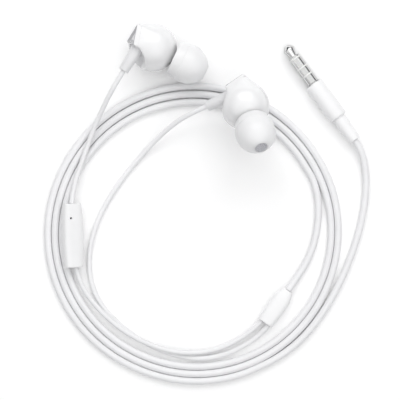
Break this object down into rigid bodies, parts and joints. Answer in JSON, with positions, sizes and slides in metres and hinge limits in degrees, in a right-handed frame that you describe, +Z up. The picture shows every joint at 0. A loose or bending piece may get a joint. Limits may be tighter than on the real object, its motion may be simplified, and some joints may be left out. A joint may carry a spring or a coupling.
{
  "type": "wired in-ear earphones",
  "caption": "White wired in-ear earphones with domed silicone tips, an in-line remote, a splitter, a coiled round cord and a straight four-pole jack plug.",
  "frame": {"origin": "on the plane that everything rests on, under the middle of the box round the two earpieces", "axes": "+Z up from the resting plane, +X from the left earpiece towards the right earpiece, +Y from the coiled cord towards the earpieces"},
  "size_m": [0.0973, 0.1077, 0.0257],
  "materials": {
    "white_plastic": "glossy moulded ABS",
    "trim_plastic": "glossy inlay",
    "grey_plastic": "matt moulded",
    "mesh": "fine woven steel mesh",
    "white_elastomer": "satin thermoplastic elastomer",
    "steel": "plain",
    "magnet": "plated",
    "copper": "enamelled copper wire",
    "film": "thin film",
    "silicone": "satin white silicone",
    "board": "printed circuit board",
    "nickel": "polished nickel plate",
    "insulator": "white insulating ring",
    "cord": "satin white elastomer jacket"
  },
  "bodies": {
    "root": {"left_front_shell": "white_plastic", "left_rear_cover": "white_plastic", "left_rear_trim": "trim_plastic", "left_nozzle": "grey_plastic", "left_nozzle_mesh": "mesh", "left_boot": "white_elastomer", "left_driver_frame": "grey_plastic", "left_yoke": "steel", "left_magnet": "magnet", "left_voice_coil": "copper", "left_diaphragm": "film", "right_front_shell": "white_plastic", "right_rear_cover": "white_plastic", "right_rear_trim": "trim_plastic", "right_nozzle": "grey_plastic", "right_nozzle_mesh": "mesh", "right_boot": "white_elastomer", "right_driver_frame": "grey_plastic", "right_yoke": "steel", "right_magnet": "magnet", "right_voice_coil": "copper", "right_diaphragm": "film", "remote_front_cover": "white_plastic", "remote_back_cover": "white_plastic", "remote_board": "board", "remote_switch": "grey_plastic", "microphone": "steel", "splitter_shell": "white_elastomer", "splitter_joint": "grey_plastic", "jack_tip": "nickel", "jack_ring_1": "nickel", "jack_ring_2": "nickel", "jack_sleeve": "nickel", "jack_insulators": "insulator", "jack_centre_pin": "nickel", "plug_barrel": "white_elastomer", "plug_core": "grey_plastic", "plug_boot": "white_elastomer", "cable_coil": "cord", "cable_start": "cord", "cable_end": "cord", "left_cord_upper": "cord", "left_cord_lower": "cord", "right_cord": "cord"},
    "left_tip": {"left_ear_tip": "silicone"},
    "right_tip": {"right_ear_tip": "silicone"},
    "button": {"remote_button": "white_plastic"}
  },
  "joints": [
    {"name": "left_tip_pull", "type": "slide", "parent": "root", "child": "left_tip", "axis": [0.9023, -0.4311, 0], "range_m": [0, 0.006]},
    {"name": "right_tip_pull", "type": "slide", "parent": "root", "child": "right_tip", "axis": [0.255, -0.7249, 0.6399], "range_m": [0, 0.006]},
    {"name": "remote_button_press", "type": "slide", "parent": "root", "child": "button", "axis": [0.4066, 0.0122, 0.9135], "range_m": [0, 0.0003], "stiffness_N_per_m": 600}
  ]
}
